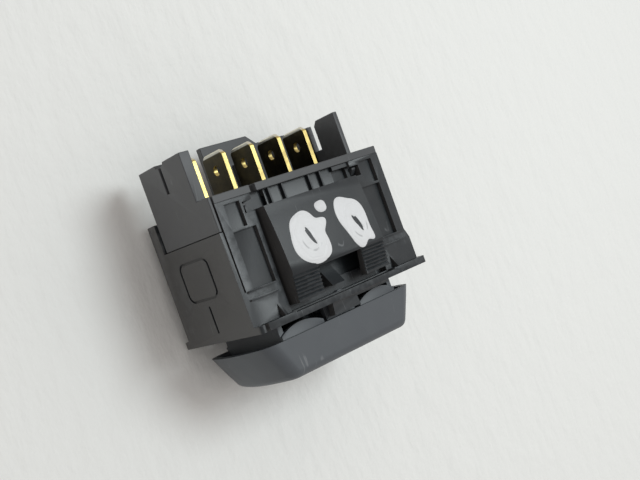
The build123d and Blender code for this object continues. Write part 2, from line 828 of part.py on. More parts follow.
for place, side in (("front", -1), ("rear", 1)):
    seesaw(f"seesaw_{place}", side)
    moving_contact(f"moving_contact_{place}_a", contact_x, side)
    moving_contact(f"moving_contact_{place}_b", -contact_x, side)


# ---------------------------------------------------------------- plungers and springs
def plunger(name, side):
    """Turned pin: bevelled nose, shoulder, and a guide part that slides in the rocker's tube."""
    y = side * pole_y
    with BuildPart() as pin:
        with BuildSketch(Plane.XZ.offset(-y)):
            with BuildLine():
                Polyline(
                    (0, nose_z),
                    (nose_flat, nose_z),
                    (nose_r, nose_z + nose_r - nose_flat),
                    (nose_r, shoulder_z),
                    (plunger_r, shoulder_z + plunger_r - nose_r),
                    (plunger_r, plunger_top),
                    (0, plunger_top),
                    (0, nose_z),
                )
            make_face()
        revolve(axis=Axis((0, y, 0), (0, 0, 1)))
    save(pin, name)


def plunger_spring(name, side):
    """Compression spring between the plunger and the closed end of its tube."""
    z0 = plunger_top + spring_wire + 0.02
    height = bore_top - spring_wire - 0.02 - z0
    y = side * pole_y
    with BuildPart() as spring:
        with BuildLine():
            coil = Helix(height / spring_turns, height, spring_r, center=(0, y, z0))
        with BuildSketch(Plane(coil @ 0, z_dir=coil % 0)):
            RegularPolygon(spring_wire, 3)
        sweep()
    save(spring, name)


for place, side in (("front", -1), ("rear", 1)):
    plunger(f"plunger_{place}", side)
    plunger_spring(f"spring_{place}", side)


# ---------------------------------------------------------------- lamp
with BuildPart() as lamp_clip:
    with BuildSketch(Plane.XY.offset(deck_z)):
        x0, x1 = lamp_x - lamp_r, blade_x[0] + blade_t / 2
        y0, y1 = stem_y - stem_w / 2, -0.3
        with Locations(((x0 + x1) / 2, (y0 + y1) / 2)):
            Rectangle(x1 - x0, y1 - y0)
    extrude(amount=clip_t)
save(lamp_clip, "lamp_clip")

with BuildPart() as lamp_strip:
    with BuildSketch(Plane.XY.offset(deck_z)):
        x0, x1 = contact_x + pad_w / 2, lamp_x + lamp_r
        y0, y1 = 0.3, pole_y
        with Locations(((x0 + x1) / 2, (y0 + y1) / 2)):
            Rectangle(x1 - x0, y1 - y0)
    extrude(amount=clip_t)
save(lamp_strip, "lamp_strip")

with BuildPart() as lamp:
    with BuildSketch(Plane.XZ):
        foot_z = deck_z + clip_t
        with BuildLine():
            Polyline((lamp_x, foot_z), (lamp_x + lamp_r, foot_z), (lamp_x + lamp_r, foot_z + lamp_h - lamp_r))
            CenterArc((lamp_x, foot_z + lamp_h - lamp_r), lamp_r, 0, 90)
            Line((lamp_x, foot_z + lamp_h), (lamp_x, foot_z))
        make_face()
    revolve(axis=Axis((lamp_x, 0, 0), (0, 0, 1)))
save(lamp, "lamp")
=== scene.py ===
"""Looks of a vehicle window rocker switch, laid out as a Blender add-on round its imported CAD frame.

Lengths are in metres, and every piece stands in the switch's own frame: +Z towards the rocker, -Z
towards the plug blades, -Y the front side, and +X the end face that carries the sunk frame.
"""

import json
from math import radians

import bmesh
import bpy
import numpy as np
from mathutils import Matrix, Vector


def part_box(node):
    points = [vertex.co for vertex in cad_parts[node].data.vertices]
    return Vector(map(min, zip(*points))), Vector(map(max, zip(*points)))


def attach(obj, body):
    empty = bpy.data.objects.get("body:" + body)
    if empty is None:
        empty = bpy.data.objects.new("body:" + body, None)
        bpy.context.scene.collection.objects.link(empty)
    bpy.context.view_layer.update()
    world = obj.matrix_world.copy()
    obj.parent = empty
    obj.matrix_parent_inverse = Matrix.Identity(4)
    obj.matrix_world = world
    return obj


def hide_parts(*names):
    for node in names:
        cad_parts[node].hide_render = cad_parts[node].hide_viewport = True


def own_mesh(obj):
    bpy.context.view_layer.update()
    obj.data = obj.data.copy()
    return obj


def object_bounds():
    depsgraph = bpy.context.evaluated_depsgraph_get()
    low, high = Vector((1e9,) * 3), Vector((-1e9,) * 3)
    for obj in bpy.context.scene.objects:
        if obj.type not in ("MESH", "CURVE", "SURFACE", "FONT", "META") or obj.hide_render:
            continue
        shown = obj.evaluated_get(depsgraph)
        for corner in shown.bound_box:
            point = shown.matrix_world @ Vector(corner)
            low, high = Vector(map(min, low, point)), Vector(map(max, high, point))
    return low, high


bl_info = {
    "name": "Window rocker switch looks",
    "version": (1, 0, 0),
    "blender": (4, 5, 0),
    "location": "3D View > Sidebar > Window switch",
    "description": "Dresses a snap-in rocker switch with moulded plastics, stamped blades and paint dabs",
    "category": "Object",
}

MM = 0.001

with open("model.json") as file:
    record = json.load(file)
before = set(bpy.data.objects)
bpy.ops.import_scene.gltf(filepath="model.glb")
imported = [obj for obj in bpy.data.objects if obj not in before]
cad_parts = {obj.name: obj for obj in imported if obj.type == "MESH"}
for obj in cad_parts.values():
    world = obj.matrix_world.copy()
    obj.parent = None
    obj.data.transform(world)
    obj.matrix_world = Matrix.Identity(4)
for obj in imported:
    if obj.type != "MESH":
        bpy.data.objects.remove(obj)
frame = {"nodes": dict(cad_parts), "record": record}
CAD_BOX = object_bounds()

# Paint marks on the front latch: the outer and the inner oval of each ring. An oval has a middle
# (x, z), half axes, a tilt, waves (count, size, shift) and, on the outside, spurs (angle, size, width)
RING_DABS = (
    (
        "paint_ring_left",
        (
            (4.60 * MM, -10.0 * MM),
            (3.55 * MM, 4.45 * MM),
            0.24,
            ((1, 0.05, -2.3), (3, 0.07, -6.9), (5, 0.03, -0.6)),
            ((3.28, 0.52, 0.20), (2.60, -0.10, 0.35)),
        ),
        (
            (4.15 * MM, -10.3 * MM),
            (0.26 * MM, 1.55 * MM),
            0.30,
            ((2, 0.06, 0.0), (3, 0.14, 0.8), (5, 0.06, 2.0)),
        ),
    ),
    (
        "paint_ring_right",
        (
            (-5.70 * MM, -10.1 * MM),
            (2.95 * MM, 4.45 * MM),
            0.22,
            ((1, 0.05, 1.0), (3, 0.075, -3.3), (5, 0.035, 1.0)),
            ((2.12, 0.24, 0.26), (2.70, -0.07, 0.40)),
        ),
        (
            (-6.20 * MM, -9.6 * MM),
            (0.34 * MM, 1.40 * MM),
            0.36,
            ((2, 0.05, 1.0), (3, 0.16, 2.4), (5, 0.06, 0.5)),
        ),
    ),
)
DOT_DAB = ((-0.2 * MM, -14.2 * MM), (1.20 * MM, 1.05 * MM), 0.1, ((2, 0.03, 0.5), (3, 0.03, 1.0)))
RING_STEPS = (144, 36)  # points round a ring, and round its section
DOT_STEPS = (72, 25)

BODY_OF = {
    node: body for body, nodes in frame["record"]["behaviour"]["bodies"].items() for node in nodes
}
SLOT_OF = {part["node"]: part["material_slot"] for part in frame["record"]["subparts"]}
HOUSING_LOW, HOUSING_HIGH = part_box("housing")

# How a copy of a CAD node is cleaned and rounded
SAME_POINT = 2e-6  # points of a CAD mesh that lie closer than this are one
MADE_POINT = 1e-7  # the same for a mesh made here, and for a cut
FLAT_TURN = radians(0.6)  # faces that turn less than this are one flat
CREASE_TURN = radians(32)  # edges that turn more than this stay creases in the shading
ROUND_TURN = radians(38)  # edges that turn more than this are rounded
STAMPED_ROUND = 0.00004  # rounding of stamped metal
ROUND_STEPS = 2

# Thin screens that close the case above the wells, behind the latches
SCREEN_HALF = 10.95 * MM
SCREEN_Y = (8.25 * MM, 8.8 * MM)
SCREEN_Z = (-2.2 * MM, 0.2 * MM)

# Blades: their tips reach further out and end in a bevel
BLADE_REACH = 0.75 * MM
BLADE_BEYOND_HOLE = 1.4 * MM  # length of the tip beyond the hole's edge
BLADE_BEVEL = 0.5 * MM  # height of the bevel
BLADE_END_SHARE = 0.4  # the end's thickness as a share of the blade's
BLADE_END_SLACK = 0.1 * BLADE_BEVEL
BLADE_TIP_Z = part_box("terminal_supply")[0][2] - BLADE_REACH
BLADE_BARE_Z = (BLADE_TIP_Z + 1.3 * BLADE_BEVEL, BLADE_TIP_Z + 1.0 * BLADE_BEVEL)  # bare metal below

# Rocker: its skirt's ends move in by these amounts
ROCKER_EDGE_Z = 3.9 * MM  # lower edge of the skirt
ROCKER_EASE_X = (7 * MM, 16 * MM)  # between these distances from the middle the move grows to the full one
ROCKER_SHIFT = 0.35 * MM  # both ends towards +X
ROCKER_TRIM = 0.35 * MM
ROCKER_CORNER_TRIM = 0.55 * MM  # more at the corners
ROCKER_TOP_TRIM = 0.6 * MM  # more towards the top

# Sunk frame on the end face, as (y, z), and the sunk line beside it
END_SKIN = 0.5 * MM  # the end face's points lie within this of the case's +X end
FRAME_MIDDLE = (1.15 * MM, -9.5 * MM)
FRAME_REACH = (4.8 * MM, 4.05 * MM)
FRAME_SHIFT = 0.75 * MM
FRAME_SHARE = 0.88  # new height over the old one
LINE_Y = 0.4 * MM
LINE_REACH = 0.4 * MM
LINE_SHIFT = 0.5 * MM

# Strips that the latches hang from, and the ribs and bars in the pockets over the latches
ROOT_OUT = 9.9 * MM  # outer face of a strip
ROOT_SLACK = 0.02 * MM
ROOT_SINK = 0.7 * MM
ROOT_BELOW = -15.8 * MM
POCKET_RIB_X = (6.7 * MM, 3.8 * MM, -2.0 * MM, -4.5 * MM)
POCKET_RIB_T = 0.3 * MM
POCKET_RIB_ROOT = 0.05 * MM  # how deep a rib sits in its floor
POCKET_Z = (-19.85 * MM, -17.15 * MM)
POCKET_BAR_X = (-10.85 * MM, -7.3 * MM)
POCKET_BAR_Z = (-19.85 * MM, -19.2 * MM)
WELL_Y = 8.25 * MM

# Thicker end of the shroud's rear wall
POST_X = (-18.0 * MM, -17.0 * MM)
POST_Y = (4.2 * MM, 5.75 * MM)
POST_Z = (-29.2 * MM, -21.1 * MM)

LATCH_PEAK = -HOUSING_LOW[1]  # the front latch's peak is the case's furthest point along -Y
LATCH_ARC = (  # toe, middle and peak of the latch's face: distance from the middle plane, and height
    (LATCH_PEAK - 1.25 * MM, -17.2 * MM),
    (LATCH_PEAK - 0.50 * MM, -12.0 * MM),
    (LATCH_PEAK, -5.8 * MM),
)

# Tones that dirt and wear bring to plastics, metals and paint
SHADED = (0.94, 0.94, 0.95)
DUST = (0.17, 0.165, 0.155)
RUBBED = (0.16, 0.175, 0.185)
SCRATCHED = (0.20, 0.21, 0.22)
DULLED = (0.72, 0.71, 0.69)
THIN_PAINT = (0.45, 0.46, 0.47)
BRUSHED_PAINT = (0.58, 0.60, 0.60)
MISSED_PAINT = (0.05, 0.055, 0.06)
SMUDGE = (0.62, 0.63, 0.63)

# Darker and lighter tone of the light window, and clear and smoked tone of the bulb
LENS_TONES = ((0.10, 0.26, 0.16), (0.16, 0.36, 0.24))
BULB_TONES = ((0.93, 0.96, 0.94), (0.70, 0.72, 0.68))

# Depths of the fine relief of each surface
GRAIN_DEPTH = 0.000010
ROLLED_DEPTH = 0.000003
STREAK_DEPTH = 0.00005
LENS_DEPTH = 0.000004
BULB_DEPTH = 0.000006
TABLE_DEPTH = 0.0010

# Stage
TABLE_REACH = 2.5
TABLE_GAP = 0.1 * MM
KEY_COLOUR = (0.92, 1.0, 1.02)
SKY_COLOUR = (1.0, 0.945, 0.92)
SENSOR_WIDTH = 36.0  # in millimetres
NEAREST_SEEN = 0.005


# ---------------------------------------------------------------- properties
def colour_prop(name, description, default):
    """A colour property with its swatch."""
    return bpy.props.FloatVectorProperty(
        name=name, description=description, subtype="COLOR", size=3, min=0.0, max=1.0, default=default
    )


def length_prop(name, description, default):
    """A length property in metres."""
    return bpy.props.FloatProperty(
        name=name, description=description, default=default, min=0.0, unit="LENGTH", precision=5
    )


def share_prop(name, description, default):
    """A plain share between 0 and 1."""
    return bpy.props.FloatProperty(name=name, description=description, default=default, min=0.0, max=1.0)


class PlasticLooks(bpy.types.PropertyGroup):
    """Colours and finish of the moulded pieces."""

    case_colour: colour_prop("Case", "Black of the case's long sides", (0.016, 0.020, 0.023))
    # Faces that look along X take this lighter tone: partly a duller, dustier end face, partly painted light
    # for how the light falls on the ends.
    end_tone_and_painted_light: colour_prop("End face", "Greyer, duller tone of the end faces", (0.064, 0.064, 0.063))
    base_colour: colour_prop("Terminal base", "Tone of the base and its shroud", (0.050, 0.053, 0.056))
    # Painted light: a lighter tone on the base's faces that look along X, which lifts them where the light
    # reaches them less.
    base_end_painted_light: colour_prop("Base ends", "Tone of the base's end faces", (0.090, 0.093, 0.096))
    rocker_colour: colour_prop("Rocker", "Satin tone of the rocker", (0.069, 0.078, 0.087))
    plunger_colour: colour_prop("Plungers", "Natural colour of the slippery plungers", (0.72, 0.70, 0.64))
    edge_round: length_prop("Edge rounding", "Radius of the moulded edges", 0.00012)
    grain_size: length_prop("Grain", "Size of the finest moulded grain", 0.00022)
    dust: share_prop("Dust", "How much dust lies on the plastic", 0.10)
    wear: share_prop("Edge wear", "How far rubbed edges lighten", 0.3)
    scratches: share_prop("Scratches", "How clearly the hair-thin scratches show", 0.5)


class MetalLooks(bpy.types.PropertyGroup):
    """Colours of blades, rails, contacts and springs."""

    brass_colour: colour_prop("Brass", "Sheared edges of clean brass", (0.60, 0.48, 0.18))
    tarnish_colour: colour_prop("Tarnish", "Brown film on old brass", (0.20, 0.15, 0.08))
    # Painted reflection and shade: near-black laid on the blades' broad faces for the dark surroundings they
    # mirror.
    painted_dark_reflection_colour: colour_prop("Oxide", "Near-black film on the blades' broad faces", (0.030, 0.027, 0.022))
    tip_colour: colour_prop("Blade tips", "Pale metal rubbed bare at the blades' ends", (0.74, 0.72, 0.64))
    silver_colour: colour_prop("Contacts", "Silver contact buttons", (0.80, 0.79, 0.76))
    steel_colour: colour_prop("Springs", "Drawn spring wire", (0.55, 0.55, 0.56))
    tarnish: share_prop("Tarnish share", "How much of the brass is filmed over", 0.45)


class DabLooks(bpy.types.PropertyGroup):
    """Hand-made paint marks on the front latch."""

    paint_colour: colour_prop("Paint", "White marking paint", (0.66, 0.67, 0.68))
    thickness: length_prop("Thickness", "Height of the paint over the latch", 0.00014)
    seat: length_prop("Seat", "How deep the underside of the paint sits in the latch", 0.00003)
    hump: bpy.props.FloatProperty(
        name="Hump", description="How squarely the paint rises from its edges", default=4.0, min=2.0
    )
    missed: share_prop("Missed arc", "How clearly the arc that the brush missed shows", 0.35)


class StageLooks(bpy.types.PropertyGroup):
    """Camera, light and the pale surface that the switch lies on."""

    camera_place: bpy.props.FloatVectorProperty(
        name="Camera", description="Place of the camera", subtype="TRANSLATION", size=3,
        default=(0.09480, -0.12928, -0.01257),
    )
    aim: bpy.props.FloatVectorProperty(
        name="Aim", description="Point that the camera looks at", subtype="TRANSLATION", size=3,
        default=(-0.00136, -0.00777, -0.00890),
    )
    roll: bpy.props.FloatProperty(
        name="Roll", description="Turn of the camera about its line of sight", subtype="ANGLE",
        default=radians(19.9),
    )
    lens: bpy.props.FloatProperty(
        name="Lens", description="Focal length on a 36 mm wide sensor, in millimetres", default=51.84, min=1.0
    )
    table_colour: colour_prop("Table", "Pale surface behind the switch", (0.80, 0.81, 0.79))
    key_from: bpy.props.FloatVectorProperty(
        name="Key direction", description="Where the large soft light comes from", subtype="DIRECTION",
        size=3, default=(-0.33, -0.92, -0.18),
    )
    key_far: length_prop("Key distance", "Distance of the large soft light", 0.45)
    key_size: length_prop("Key size", "Diameter of the large soft light", 0.20)
    key_power: bpy.props.FloatProperty(
        name="Key light", description="Power of the large soft light", unit="POWER", default=0.94, min=0.0
    )
    sky_strength: bpy.props.FloatProperty(
        name="Sky", description="Strength of the soft light from all round", default=0.60, min=0.0
    )
    sky_fall: share_prop("Sky fall-off", "How far the sky darkens towards the +X side", 0.3)


# ---------------------------------------------------------------- mesh helpers
def new_object(name, mesh):
    """An object at the origin, linked to the scene."""
    thing = bpy.data.objects.new(name, mesh)
    bpy.context.scene.collection.objects.link(thing)
    return thing


def eased(value, start, end):
    """Smooth step of an array from 0 at start to 1 at end: three squares less two cubes of the share."""
    share = np.clip((value - start) / (end - start), 0.0, 1.0)
    return share * share * (3 - 2 * share)


def longer_blade(points):
    """Moves out the blade's tip, all that lies beyond the hole, and draws its end in to a bevel."""
    tip = points[:, 2].min()
    beyond = points[:, 2] < tip + BLADE_BEYOND_HOLE
    at_end = points[:, 2] < tip + BLADE_END_SLACK
    middle = (points[at_end, 0].min() + points[at_end, 0].max()) / 2
    points[at_end, 0] = middle + BLADE_END_SHARE * (points[at_end, 0] - middle)
    points[beyond, 2] -= BLADE_REACH
    return points


def trimmed_case(points):
    """Moves whole groups of the case's points.

    The sunk frame on the end face moves towards -Y and is made shorter, and the line beside it moves
    too. The outer faces of the root strips sink inwards, which deepens the pockets over the latches.
    """
    x, y, z = points.T
    strip = np.abs(np.abs(y) - ROOT_OUT) < ROOT_SLACK
    strip &= (z < ROOT_BELOW) & (np.abs(x) < SCREEN_HALF)
    points[strip, 1] -= ROOT_SINK * np.sign(y[strip])
    on_end = x > HOUSING_HIGH[0] - END_SKIN
    middle_y, middle_z = FRAME_MIDDLE
    framed = on_end & (np.abs(y - middle_y) < FRAME_REACH[0]) & (np.abs(z - middle_z) < FRAME_REACH[1])
    lined = on_end & (np.abs(y - LINE_Y) < LINE_REACH) & (z > middle_z + FRAME_REACH[1])
    points[framed, 2] = middle_z + FRAME_SHARE * (z[framed] - middle_z)
    points[framed, 1] -= FRAME_SHIFT
    points[lined, 1] -= LINE_SHIFT
    return points


def trimmed_rocker(points):
    """Moves the skirt's ends in, more at the corners and towards the top, along a smooth step of |x|."""
    x, y, z = points.T
    half_y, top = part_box("rocker")[1][1:]
    up = np.clip((z - ROCKER_EDGE_Z) / (top - ROCKER_EDGE_Z), 0.0, 1.0)
    corner = (y / half_y) ** 2
    inward = ROCKER_TRIM + ROCKER_CORNER_TRIM * corner + ROCKER_TOP_TRIM * up * up
    outside = eased(np.abs(x), *ROCKER_EASE_X)
    points[:, 0] = x + (ROCKER_SHIFT - np.sign(x) * inward) * outside
    return points


def softened(node, width, change=None, cut_z=None):
    """A merged copy of a CAD node, its flats made whole and its edges rounded, that stands for the node.

    change moves the copy's points as one array, after an optional ring of points is cut in at cut_z.
    With a width of 0 no edge is rounded.
    """
    mesh = frame["nodes"][node].data.copy()
    mesh.name = f"{node}_moulded"
    shell = bmesh.new()
    shell.from_mesh(mesh)
    bmesh.ops.remove_doubles(shell, verts=shell.verts, dist=SAME_POINT)
    bmesh.ops.dissolve_limit(shell, angle_limit=FLAT_TURN, verts=shell.verts, edges=shell.edges)
    if cut_z is not None:
        whole = shell.verts[:] + shell.edges[:] + shell.faces[:]
        bmesh.ops.bisect_plane(shell, geom=whole, plane_co=(0, 0, cut_z), plane_no=(0, 0, 1), dist=MADE_POINT)
    if change is not None:
        bmesh.ops.triangulate(shell, faces=[face for face in shell.faces if len(face.verts) > 4])
    shell.to_mesh(mesh)
    shell.free()
    if change is not None:
        points = np.empty(3 * len(mesh.vertices))
        mesh.vertices.foreach_get("co", points)
        points = change(points.reshape(-1, 3))
        mesh.vertices.foreach_set("co", points.ravel())
        mesh.update()
    mesh.shade_smooth()
    mesh.set_sharp_from_angle(angle=CREASE_TURN)
    piece = new_object(f"{node}_moulded", mesh)
    if width > 0:
        edges = piece.modifiers.new("Edges", "BEVEL")
        edges.width = width
        edges.segments = ROUND_STEPS
        edges.limit_method = "ANGLE"
        edges.angle_limit = ROUND_TURN
        edges.harden_normals = True
    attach(piece, BODY_OF[node])
    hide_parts(node)
    return piece


def grid_mesh(name, points, closed_u=False, closed_v=False):
    """A mesh of quads over a grid of points, shape (rows, columns, 3), optionally closed either way."""
    rows, columns = points.shape[:2]
    index = np.arange(rows * columns).reshape(rows, columns)
    lower = index if closed_u else index[:-1]
    upper = np.roll(index, -1, axis=0) if closed_u else index[1:]
    if closed_v:
        quads = np.stack([lower, np.roll(lower, -1, 1), np.roll(upper, -1, 1), upper], axis=-1)
    else:
        quads = np.stack([lower[:, :-1], lower[:, 1:], upper[:, 1:], upper[:, :-1]], axis=-1)
    mesh = bpy.data.meshes.new(name)
    mesh.from_pydata(points.reshape(-1, 3).tolist(), [], quads.reshape(-1, 4).tolist())
    mesh.validate()
    mesh.shade_smooth()
    return mesh


def long_bar(name, x, y, z):
    """A closed bar between two xs, two ys and two zs.

    The rectangle of its (y, z) corners is carried along X, and both ends are drawn in to its middle.
    """
    ring = np.array([(y[0], z[0]), (y[1], z[0]), (y[1], z[1]), (y[0], z[1])])
    middle = ring.mean(axis=0)
    rows = [np.broadcast_to(middle, ring.shape), ring, ring, np.broadcast_to(middle, ring.shape)]
    ends = np.repeat(x, 2)[:, None, None]
    points = np.concatenate([np.broadcast_to(ends, (4, len(ring), 1)), np.stack(rows)], axis=-1)
    mesh = grid_mesh(name, points, closed_v=True)
    outward(mesh)
    mesh.set_sharp_from_angle(angle=CREASE_TURN)
    return new_object(name, mesh)


def outward(mesh):
    """Merges doubles and turns every face of a closed mesh outwards."""
    shell = bmesh.new()
    shell.from_mesh(mesh)
    bmesh.ops.remove_doubles(shell, verts=shell.verts, dist=MADE_POINT)
    bmesh.ops.recalc_face_normals(shell, faces=shell.faces)
    shell.to_mesh(mesh)
    shell.free()


def latch_skin(z):
    """Distance of the latch's face from the middle plane at height z, as whole arrays.

    The face is part of a cylinder, so its section is the circle through toe, middle and peak.
    """
    points = np.array(LATCH_ARC)
    rows = np.column_stack([2 * points, np.ones(3)])
    cy, cz, rest = np.linalg.solve(rows, (points**2).sum(axis=1))
    radius = np.sqrt(rest + cy**2 + cz**2)
    return cy + np.sign(points[1, 0] - cy) * np.sqrt(radius**2 - (z - cz) ** 2)


def laid_on_latch(x, z, height):
    """Points of the front latch's face at x and z, raised by a height along -Y."""
    return np.stack([x, -(latch_skin(z) + height), z], axis=-1)


def oval(angle, middle, half, tilt, waves, spurs=(), square=2.5):
    """Oval with a wavy edge, turned by tilt.

    Its radius is the superellipse's, one over the root of the sum of both shares' powers, times 1
    plus small cosines of the angle and, for each spur, a bell that falls off from the spur's angle.
    """
    swell = 1.0 + sum(size * np.cos(count * angle + shift) for count, size, shift in waves)
    for at, size, width in spurs:
        away = np.angle(np.exp(1j * (angle - at)))
        swell = swell + size * np.exp(-((away / width) ** 2))
    cosine, sine = np.cos(angle), np.sin(angle)
    radius = (np.abs(cosine) ** square + np.abs(sine) ** square) ** (-1 / square) * swell
    across, along = half[0] * cosine * radius, half[1] * sine * radius
    x = middle[0] + across * np.cos(tilt) - along * np.sin(tilt)
    z = middle[1] + across * np.sin(tilt) + along * np.cos(tilt)
    return x, z


def paint_height(looks, rise, on_top, load=1.0):
    """Height of the paint over the latch: the thickness times the rise on top, and less its seat all over.

    The seat is deepest where the paint doesn't rise, so the edges lie inside the latch.
    """
    return np.where(on_top, looks.thickness * rise * load, 0.0) - looks.seat * (1 - 0.8 * rise)


def ring_dab(name, outer, inner):
    """Closed ring of thick paint between two wavy ovals.

    Across the ring a share runs from the outer oval (-1) to the inner one (1). The top rises as
    one minus the share to the power of the hump, times a load that varies slowly round the ring.
    """
    looks = bpy.context.scene.dab_looks
    turn = np.linspace(0, 2 * np.pi, RING_STEPS[0], endpoint=False)[:, None]
    way = np.linspace(0, 2 * np.pi, RING_STEPS[1], endpoint=False)[None, :]
    share = np.cos(way)
    x0, z0 = oval(turn, *outer)
    x1, z1 = oval(turn, *inner)
    mix = (share + 1) / 2
    rise = 1 - np.abs(share) ** looks.hump
    load = 0.86 + 0.14 * np.cos(2 * turn + 0.7) * np.cos(3 * turn)
    height = paint_height(looks, rise, np.sin(way) >= 0, load)
    points = laid_on_latch(x0 + (x1 - x0) * mix, z0 + (z1 - z0) * mix, height)
    mesh = grid_mesh(name, points, closed_u=True, closed_v=True)
    outward(mesh)
    return new_object(name, mesh)


def dot_dab(name, outer):
    """Closed drop of paint: its top rises as one minus the share from the middle to the hump's power."""
    looks = bpy.context.scene.dab_looks
    turn = np.linspace(0, 2 * np.pi, DOT_STEPS[0], endpoint=False)[None, :]
    way = np.linspace(0, np.pi, DOT_STEPS[1])[:, None]
    share = np.sin(way)
    x0, z0 = oval(turn, *outer)
    mix = 1 - share
    height = paint_height(looks, 1 - share**looks.hump, np.cos(way) >= 0)
    middle_x, middle_z = outer[0]
    points = laid_on_latch(x0 + (middle_x - x0) * mix, z0 + (middle_z - z0) * mix, height)
    mesh = grid_mesh(name, points, closed_v=True)
    outward(mesh)
    return new_object(name, mesh)


# ---------------------------------------------------------------- shader helpers
def link(tree, source, target):
    """Joins an output socket to an input socket."""
    tree.links.new(source, target)


def maths(tree, operation, first, second=None, clamp=False):
    """The output of a Math node; each operand is a socket or a number."""
    node = tree.nodes.new("ShaderNodeMath")
    node.operation = operation
    node.use_clamp = clamp
    for slot, operand in enumerate((first, second)):
        if operand is None:
            continue
        if isinstance(operand, (int, float)):
            node.inputs[slot].default_value = operand
        else:
            link(tree, operand, node.inputs[slot])
    return node.outputs[0]


def blend_colour(tree, share, first, second, mode="MIX"):
    """The colour output of a Mix node; each colour is a socket or a tuple."""
    node = tree.nodes.new("ShaderNodeMix")
    node.data_type = "RGBA"
    node.blend_type = mode
    for slot, operand in ((0, share), (6, first), (7, second)):
        if isinstance(operand, (int, float)):
            node.inputs[slot].default_value = operand
        elif isinstance(operand, (tuple, list)):
            node.inputs[slot].default_value = (*operand[:3], 1.0)
        else:
            link(tree, operand, node.inputs[slot])
    return node.outputs[2]


def ramp(tree, value, low, high):
    """A smooth 0 to 1 step of a value between two limits."""
    node = tree.nodes.new("ShaderNodeMapRange")
    node.interpolation_type = "SMOOTHSTEP"
    link(tree, value, node.inputs["Value"])
    node.inputs["From Min"].default_value = low
    node.inputs["From Max"].default_value = high
    return node.outputs["Result"]


def noise(tree, vector, scale, detail=3.0, roughness=0.55):
    """The value of a 3-D noise; its scale is a socket or a number."""
    node = tree.nodes.new("ShaderNodeTexNoise")
    link(tree, vector, node.inputs["Vector"])
    node.inputs["Detail"].default_value = detail
    node.inputs["Roughness"].default_value = roughness
    if isinstance(scale, (int, float)):
        node.inputs["Scale"].default_value = scale
    else:
        link(tree, scale, node.inputs["Scale"])
    return node.outputs["Fac"]


def stretched(tree, vector, scale, turn=(0.0, 0.0, 0.0)):
    """A vector scaled by its own factor along each axis, then turned."""
    node = tree.nodes.new("ShaderNodeMapping")
    link(tree, vector, node.inputs["Vector"])
    node.inputs["Rotation"].default_value = turn
    node.inputs["Scale"].default_value = scale
    return node.outputs["Vector"]


def component(tree, vector, axis):
    """One component, X, Y or Z, of a vector."""
    node = tree.nodes.new("ShaderNodeSeparateXYZ")
    link(tree, vector, node.inputs[0])
    return node.outputs[axis]


def looks_along_x(tree, low, high):
    """A smooth 0 to 1 step of how squarely the surface looks along X, either way."""
    normal = tree.nodes.new("ShaderNodeNewGeometry").outputs["Normal"]
    return ramp(tree, maths(tree, "ABSOLUTE", component(tree, normal, "X")), low, high)


def new_group(name, inputs, outputs):
    """An empty node group with named sockets; inputs map a name to its default."""
    group = bpy.data.node_groups.new(name, "ShaderNodeTree")
    for label, default in inputs.items():
        kind = "NodeSocketVector" if default is None else "NodeSocketFloat"
        socket = group.interface.new_socket(name=label, in_out="INPUT", socket_type=kind)
        if default is not None:
            socket.default_value = default
    for label in outputs:
        group.interface.new_socket(name=label, in_out="OUTPUT", socket_type="NodeSocketFloat")
    return group, group.nodes.new("NodeGroupInput"), group.nodes.new("NodeGroupOutput")


def moulded_grain():
    """Group: fine pitted grain, soft flow waves and faint drag lines of a moulded skin, as a height."""
    group, given, result = new_group(
        "moulded_grain", {"Vector": None, "Size": 0.0002, "Flow": 0.3, "Drag": 0.3}, ["Height", "Mottle"]
    )
    place = given.outputs["Vector"]
    frequency = maths(group, "DIVIDE", 1.0, given.outputs["Size"])
    fine = noise(group, place, frequency, detail=2.0)
    flow = noise(group, place, maths(group, "MULTIPLY", frequency, 0.06), detail=3.0)
    lines = noise(group, stretched(group, place, (2600.0, 2600.0, 120.0)), 1.0, detail=1.0)
    height = maths(group, "ADD", fine, maths(group, "MULTIPLY", flow, given.outputs["Flow"]))
    height = maths(group, "ADD", height, maths(group, "MULTIPLY", lines, given.outputs["Drag"]))
    link(group, height, result.inputs["Height"])
    link(group, flow, result.inputs["Mottle"])
    return group


def rubbed_edges():
    """Group: a mask of proud edges, broken up by noise, from the surface's own pointiness."""
    group, given, result = new_group("rubbed_edges", {"Vector": None, "Amount": 0.5}, ["Mask"])
    geometry = group.nodes.new("ShaderNodeNewGeometry")
    proud = ramp(group, geometry.outputs["Pointiness"], 0.56, 0.68)
    broken = ramp(group, noise(group, given.outputs["Vector"], 900.0, detail=4.0), 0.35, 0.7)
    mask = maths(group, "MULTIPLY", proud, broken)
    mask = maths(group, "MULTIPLY", mask, given.outputs["Amount"], clamp=True)
    link(group, mask, result.inputs["Mask"])
    return group


def settled_dust():
    """Group: a mask of thin dust, in cloudy patches with a few specks."""
    group, given, result = new_group("settled_dust", {"Vector": None, "Amount": 0.5}, ["Mask"])
    place = given.outputs["Vector"]
    cloud = ramp(group, noise(group, place, 160.0, detail=6.0, roughness=0.65), 0.42, 0.75)
    specks = ramp(group, noise(group, place, 2400.0, detail=2.0), 0.70, 0.78)
    both = maths(group, "MAXIMUM", maths(group, "MULTIPLY", cloud, 0.55), specks)
    link(group, maths(group, "MULTIPLY", both, given.outputs["Amount"], clamp=True), result.inputs["Mask"])
    return group


